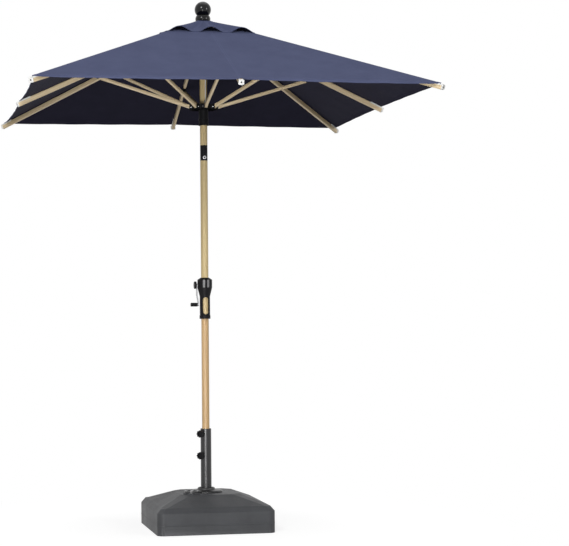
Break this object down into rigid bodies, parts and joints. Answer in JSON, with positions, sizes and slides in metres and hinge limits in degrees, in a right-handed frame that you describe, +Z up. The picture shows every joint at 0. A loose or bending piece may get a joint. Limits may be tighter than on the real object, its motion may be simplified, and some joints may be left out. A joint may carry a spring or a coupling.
{
  "type": "patio umbrella with base",
  "caption": "Square market umbrella with a crank, tilt joint and vented pyramid canopy on folding ribs, standing in a fillable plastic base with a clamp stem.",
  "frame": {"origin": "on the floor under the middle of the base, on the pole's axis", "axes": "+Z up along the pole, -Y towards the user in front of the tilt button, X and Y along the sides of canopy and base"},
  "size_m": [1.9466, 1.9466, 2.702],
  "materials": {
    "wood_finish": "satin wood-tone coating",
    "canopy_cloth": "woven polyester",
    "base_plastic": "pebbled",
    "black_plastic": "satin",
    "gloss_black": "gloss",
    "black_steel": "powder coat",
    "chrome": "polished",
    "steel": "zinc plated",
    "cord": "braided"
  },
  "bodies": {
    "base": {"base_tank": "base_plastic", "stem_collar": "black_plastic", "stem_tube": "black_steel"},
    "fill_cap": {"fill_cap": "base_plastic"},
    "upper_knob": {"upper_clamp_knob": "black_plastic"},
    "lower_knob": {"lower_clamp_knob": "black_plastic"},
    "lower_mast": {"lower_pole": "wood_finish", "middle_pole": "wood_finish", "crank_housing_front": "black_plastic", "crank_housing_back": "black_plastic", "housing_screws": "steel", "tilt_socket": "black_plastic", "tilt_pin": "steel", "tilt_spring": "steel", "lift_cord_lower": "cord"},
    "tilt_button": {"tilt_button": "chrome"},
    "crank": {"crank_shaft": "steel", "crank_arm": "chrome"},
    "crank_grip": {"crank_grip": "black_plastic"},
    "mast": {"tilt_head": "black_plastic", "upper_pole": "wood_finish", "top_hub": "black_plastic", "rib_pivot_ring": "steel", "lift_cord_upper": "cord", "vent_flap": "canopy_cloth", "finial": "gloss_black"},
    "cord_pulley": {"cord_pulley": "steel"},
    "runner": {"runner": "black_plastic"},
    "rib_right": {"rib_right": "wood_finish"},
    "strut_right": {"strut_right": "wood_finish"},
    "canopy_right_ahead": {"canopy_right_ahead": "canopy_cloth"},
    "canopy_right_behind": {"canopy_right_behind": "canopy_cloth"},
    "rib_back_right": {"rib_back_right": "wood_finish"},
    "strut_back_right": {"strut_back_right": "wood_finish"},
    "canopy_back_right_ahead": {"canopy_back_right_ahead": "canopy_cloth"},
    "canopy_back_right_behind": {"canopy_back_right_behind": "canopy_cloth"},
    "rib_back": {"rib_back": "wood_finish"},
    "strut_back": {"strut_back": "wood_finish"},
    "canopy_back_ahead": {"canopy_back_ahead": "canopy_cloth"},
    "canopy_back_behind": {"canopy_back_behind": "canopy_cloth"},
    "rib_back_left": {"rib_back_left": "wood_finish"},
    "strut_back_left": {"strut_back_left": "wood_finish"},
    "canopy_back_left_ahead": {"canopy_back_left_ahead": "canopy_cloth"},
    "canopy_back_left_behind": {"canopy_back_left_behind": "canopy_cloth"},
    "rib_left": {"rib_left": "wood_finish"},
    "strut_left": {"strut_left": "wood_finish"},
    "canopy_left_ahead": {"canopy_left_ahead": "canopy_cloth"},
    "canopy_left_behind": {"canopy_left_behind": "canopy_cloth"},
    "rib_front_left": {"rib_front_left": "wood_finish"},
    "strut_front_left": {"strut_front_left": "wood_finish"},
    "canopy_front_left_ahead": {"canopy_front_left_ahead": "canopy_cloth"},
    "canopy_front_left_behind": {"canopy_front_left_behind": "canopy_cloth"},
    "rib_front": {"rib_front": "wood_finish"},
    "strut_front": {"strut_front": "wood_finish"},
    "canopy_front_ahead": {"canopy_front_ahead": "canopy_cloth"},
    "canopy_front_behind": {"canopy_front_behind": "canopy_cloth"},
    "rib_front_right": {"rib_front_right": "wood_finish"},
    "strut_front_right": {"strut_front_right": "wood_finish"},
    "canopy_front_right_ahead": {"canopy_front_right_ahead": "canopy_cloth"},
    "canopy_front_right_behind": {"canopy_front_right_behind": "canopy_cloth"}
  },
  "joints": [
    {"name": "fill_cap_lift", "type": "slide", "parent": "base", "child": "fill_cap", "axis": [0, 0, 1], "range_m": [0, 0.06]},
    {"name": "upper_knob_turn", "type": "hinge", "parent": "base", "child": "upper_knob", "pos_m": [-0.02044, -0.0184, 0.48], "axis": [-0.7431, -0.6691, 0], "range_deg": [0, 360]},
    {"name": "lower_knob_turn", "type": "hinge", "parent": "base", "child": "lower_knob", "pos_m": [-0.02044, -0.0184, 0.369], "axis": [-0.7431, -0.6691, 0], "range_deg": [0, 360]},
    {"name": "pole_lift", "type": "slide", "parent": "base", "child": "lower_mast", "axis": [0, 0, 1], "range_m": [0, 0.5]},
    {"name": "tilt_button_press", "type": "slide", "parent": "lower_mast", "child": "tilt_button", "axis": [0, 1, 0], "range_m": [0, 0.0025], "stiffness_N_per_m": 800, "springref_m": -0.002, "deforming": ["tilt_spring"]},
    {"name": "tilt", "type": "hinge", "parent": "lower_mast", "child": "mast", "pos_m": [0, 0, 1.926], "axis": [-1, 0, 0], "range_deg": [0, 35]},
    {"name": "runner_slide", "type": "slide", "parent": "mast", "child": "runner", "axis": [0, 0, 1], "range_m": [-0.68769, 0], "deforming": ["vent_flap", "lift_cord_upper", "canopy_right_ahead", "canopy_right_behind", "canopy_back_right_ahead", "canopy_back_right_behind", "canopy_back_ahead", "canopy_back_behind", "canopy_back_left_ahead", "canopy_back_left_behind", "canopy_left_ahead", "canopy_left_behind", "canopy_front_left_ahead", "canopy_front_left_behind", "canopy_front_ahead", "canopy_front_behind", "canopy_front_right_ahead", "canopy_front_right_behind"]},
    {"name": "pulley_turn", "type": "hinge", "parent": "mast", "child": "cord_pulley", "pos_m": [0.00321, -0.01822, 2.57], "axis": [0.9848, 0.1736, 0], "range_deg": [0, 3752.67]},
    {"name": "crank_turn", "type": "hinge", "parent": "lower_mast", "child": "crank", "pos_m": [-0.038, 0, 1.24], "axis": [1, 0, 0], "range_deg": [0, 2880.1]},
    {"name": "grip_spin", "type": "hinge", "parent": "crank", "child": "crank_grip", "pos_m": [-0.038, 0, 1.14], "axis": [1, 0, 0], "continuous": true},
    {"name": "rib_right_hinge", "type": "hinge", "parent": "mast", "child": "rib_right", "pos_m": [0.05, 0, 2.57], "axis": [0, 1, 0], "range_deg": [0, 62.31]},
    {"name": "strut_right_hinge", "type": "hinge", "parent": "rib_right", "child": "strut_right", "pos_m": [0.56663, 0, 2.30762], "axis": [0, 1, 0], "range_deg": [-136.25, 0]},
    {"name": "canopy_right_ahead_fold", "type": "hinge", "parent": "rib_right", "child": "canopy_right_ahead", "pos_m": [0, 0, 2.60896], "axis": [0.9085, 0, -0.4179], "range_deg": [0, 61.19]},
    {"name": "canopy_right_behind_fold", "type": "hinge", "parent": "rib_right", "child": "canopy_right_behind", "pos_m": [0, 0, 2.60896], "axis": [-0.9085, 0, 0.4179], "range_deg": [0, 61.19]},
    {"name": "rib_back_right_hinge", "type": "hinge", "parent": "mast", "child": "rib_back_right", "pos_m": [0.03535, 0.03535, 2.57], "axis": [-0.7071, 0.7071, 0], "range_deg": [0, 69.17]},
    {"name": "strut_back_right_hinge", "type": "hinge", "parent": "rib_back_right", "child": "strut_back_right", "pos_m": [0.40201, 0.40201, 2.37944], "axis": [-0.7071, 0.7071, 0], "range_deg": [-136.1, 0]},
    {"name": "canopy_back_right_ahead_fold", "type": "hinge", "parent": "rib_back_right", "child": "canopy_back_right_ahead", "pos_m": [0, 0, 2.60896], "axis": [0.6724, 0.6724, -0.3093], "range_deg": [0, 78.14]},
    {"name": "canopy_back_right_behind_fold", "type": "hinge", "parent": "rib_back_right", "child": "canopy_back_right_behind", "pos_m": [0, 0, 2.60896], "axis": [-0.6724, -0.6724, 0.3093], "range_deg": [0, 78.14]},
    {"name": "rib_back_hinge", "type": "hinge", "parent": "mast", "child": "rib_back", "pos_m": [0, 0.05, 2.57], "axis": [-1, 0, 0], "range_deg": [0, 62.31]},
    {"name": "strut_back_hinge", "type": "hinge", "parent": "rib_back", "child": "strut_back", "pos_m": [0, 0.56663, 2.30762], "axis": [-1, 0, 0], "range_deg": [-136.25, 0]},
    {"name": "canopy_back_ahead_fold", "type": "hinge", "parent": "rib_back", "child": "canopy_back_ahead", "pos_m": [0, 0, 2.60896], "axis": [0, 0.9085, -0.4179], "range_deg": [0, 61.19]},
    {"name": "canopy_back_behind_fold", "type": "hinge", "parent": "rib_back", "child": "canopy_back_behind", "pos_m": [0, 0, 2.60896], "axis": [0, -0.9085, 0.4179], "range_deg": [0, 61.19]},
    {"name": "rib_back_left_hinge", "type": "hinge", "parent": "mast", "child": "rib_back_left", "pos_m": [-0.03535, 0.03535, 2.57], "axis": [-0.7071, -0.7071, 0], "range_deg": [0, 69.17]},
    {"name": "strut_back_left_hinge", "type": "hinge", "parent": "rib_back_left", "child": "strut_back_left", "pos_m": [-0.40201, 0.40201, 2.37944], "axis": [-0.7071, -0.7071, 0], "range_deg": [-136.1, 0]},
    {"name": "canopy_back_left_ahead_fold", "type": "hinge", "parent": "rib_back_left", "child": "canopy_back_left_ahead", "pos_m": [0, 0, 2.60896], "axis": [-0.6724, 0.6724, -0.3093], "range_deg": [0, 78.14]},
    {"name": "canopy_back_left_behind_fold", "type": "hinge", "parent": "rib_back_left", "child": "canopy_back_left_behind", "pos_m": [0, 0, 2.60896], "axis": [0.6724, -0.6724, 0.3093], "range_deg": [0, 78.14]},
    {"name": "rib_left_hinge", "type": "hinge", "parent": "mast", "child": "rib_left", "pos_m": [-0.05, 0, 2.57], "axis": [0, -1, 0], "range_deg": [0, 62.31]},
    {"name": "strut_left_hinge", "type": "hinge", "parent": "rib_left", "child": "strut_left", "pos_m": [-0.56663, 0, 2.30762], "axis": [0, -1, 0], "range_deg": [-136.25, 0]},
    {"name": "canopy_left_ahead_fold", "type": "hinge", "parent": "rib_left", "child": "canopy_left_ahead", "pos_m": [0, 0, 2.60896], "axis": [-0.9085, 0, -0.4179], "range_deg": [0, 61.19]},
    {"name": "canopy_left_behind_fold", "type": "hinge", "parent": "rib_left", "child": "canopy_left_behind", "pos_m": [0, 0, 2.60896], "axis": [0.9085, 0, 0.4179], "range_deg": [0, 61.19]},
    {"name": "rib_front_left_hinge", "type": "hinge", "parent": "mast", "child": "rib_front_left", "pos_m": [-0.03535, -0.03535, 2.57], "axis": [0.7071, -0.7071, 0], "range_deg": [0, 69.17]},
    {"name": "strut_front_left_hinge", "type": "hinge", "parent": "rib_front_left", "child": "strut_front_left", "pos_m": [-0.40201, -0.40201, 2.37944], "axis": [0.7071, -0.7071, 0], "range_deg": [-136.1, 0]},
    {"name": "canopy_front_left_ahead_fold", "type": "hinge", "parent": "rib_front_left", "child": "canopy_front_left_ahead", "pos_m": [0, 0, 2.60896], "axis": [-0.6724, -0.6724, -0.3093], "range_deg": [0, 78.14]},
    {"name": "canopy_front_left_behind_fold", "type": "hinge", "parent": "rib_front_left", "child": "canopy_front_left_behind", "pos_m": [0, 0, 2.60896], "axis": [0.6724, 0.6724, 0.3093], "range_deg": [0, 78.14]},
    {"name": "rib_front_hinge", "type": "hinge", "parent": "mast", "child": "rib_front", "pos_m": [0, -0.05, 2.57], "axis": [1, 0, 0], "range_deg": [0, 62.31]},
    {"name": "strut_front_hinge", "type": "hinge", "parent": "rib_front", "child": "strut_front", "pos_m": [0, -0.56663, 2.30762], "axis": [1, 0, 0], "range_deg": [-136.25, 0]},
    {"name": "canopy_front_ahead_fold", "type": "hinge", "parent": "rib_front", "child": "canopy_front_ahead", "pos_m": [0, 0, 2.60896], "axis": [0, -0.9085, -0.4179], "range_deg": [0, 61.19]},
    {"name": "canopy_front_behind_fold", "type": "hinge", "parent": "rib_front", "child": "canopy_front_behind", "pos_m": [0, 0, 2.60896], "axis": [0, 0.9085, 0.4179], "range_deg": [0, 61.19]},
    {"name": "rib_front_right_hinge", "type": "hinge", "parent": "mast", "child": "rib_front_right", "pos_m": [0.03535, -0.03535, 2.57], "axis": [0.7071, 0.7071, 0], "range_deg": [0, 69.17]},
    {"name": "strut_front_right_hinge", "type": "hinge", "parent": "rib_front_right", "child": "strut_front_right", "pos_m": [0.40201, -0.40201, 2.37944], "axis": [0.7071, 0.7071, 0], "range_deg": [-136.1, 0]},
    {"name": "canopy_front_right_ahead_fold", "type": "hinge", "parent": "rib_front_right", "child": "canopy_front_right_ahead", "pos_m": [0, 0, 2.60896], "axis": [0.6724, -0.6724, -0.3093], "range_deg": [0, 78.14]},
    {"name": "canopy_front_right_behind_fold", "type": "hinge", "parent": "rib_front_right", "child": "canopy_front_right_behind", "pos_m": [0, 0, 2.60896], "axis": [-0.6724, 0.6724, 0.3093], "range_deg": [0, 78.14]}
  ],
  "couplings": [
    {"joint": "pulley_turn", "follows": "runner_slide", "rad_per_m": -95.238},
    {"joint": "crank_turn", "follows": "runner_slide", "rad_per_m": -73.093},
    {"joint": "rib_right_hinge", "follows": "runner_slide", "rad_per_m": -1.5812},
    {"joint": "strut_right_hinge", "follows": "runner_slide", "rad_per_m": 3.4577},
    {"joint": "canopy_right_ahead_fold", "follows": "runner_slide", "rad_per_m": -1.5527},
    {"joint": "canopy_right_behind_fold", "follows": "runner_slide", "rad_per_m": -1.5527},
    {"joint": "rib_back_right_hinge", "follows": "runner_slide", "rad_per_m": -1.7551},
    {"joint": "strut_back_right_hinge", "follows": "runner_slide", "rad_per_m": 3.4538},
    {"joint": "canopy_back_right_ahead_fold", "follows": "runner_slide", "rad_per_m": -1.9828},
    {"joint": "canopy_back_right_behind_fold", "follows": "runner_slide", "rad_per_m": -1.9828},
    {"joint": "rib_back_hinge", "follows": "runner_slide", "rad_per_m": -1.5812},
    {"joint": "strut_back_hinge", "follows": "runner_slide", "rad_per_m": 3.4577},
    {"joint": "canopy_back_ahead_fold", "follows": "runner_slide", "rad_per_m": -1.5527},
    {"joint": "canopy_back_behind_fold", "follows": "runner_slide", "rad_per_m": -1.5527},
    {"joint": "rib_back_left_hinge", "follows": "runner_slide", "rad_per_m": -1.7551},
    {"joint": "strut_back_left_hinge", "follows": "runner_slide", "rad_per_m": 3.4538},
    {"joint": "canopy_back_left_ahead_fold", "follows": "runner_slide", "rad_per_m": -1.9828},
    {"joint": "canopy_back_left_behind_fold", "follows": "runner_slide", "rad_per_m": -1.9828},
    {"joint": "rib_left_hinge", "follows": "runner_slide", "rad_per_m": -1.5812},
    {"joint": "strut_left_hinge", "follows": "runner_slide", "rad_per_m": 3.4577},
    {"joint": "canopy_left_ahead_fold", "follows": "runner_slide", "rad_per_m": -1.5527},
    {"joint": "canopy_left_behind_fold", "follows": "runner_slide", "rad_per_m": -1.5527},
    {"joint": "rib_front_left_hinge", "follows": "runner_slide", "rad_per_m": -1.7551},
    {"joint": "strut_front_left_hinge", "follows": "runner_slide", "rad_per_m": 3.4538},
    {"joint": "canopy_front_left_ahead_fold", "follows": "runner_slide", "rad_per_m": -1.9828},
    {"joint": "canopy_front_left_behind_fold", "follows": "runner_slide", "rad_per_m": -1.9828},
    {"joint": "rib_front_hinge", "follows": "runner_slide", "rad_per_m": -1.5812},
    {"joint": "strut_front_hinge", "follows": "runner_slide", "rad_per_m": 3.4577},
    {"joint": "canopy_front_ahead_fold", "follows": "runner_slide", "rad_per_m": -1.5527},
    {"joint": "canopy_front_behind_fold", "follows": "runner_slide", "rad_per_m": -1.5527},
    {"joint": "rib_front_right_hinge", "follows": "runner_slide", "rad_per_m": -1.7551},
    {"joint": "strut_front_right_hinge", "follows": "runner_slide", "rad_per_m": 3.4538},
    {"joint": "canopy_front_right_ahead_fold", "follows": "runner_slide", "rad_per_m": -1.9828},
    {"joint": "canopy_front_right_behind_fold", "follows": "runner_slide", "rad_per_m": -1.9828}
  ]
}
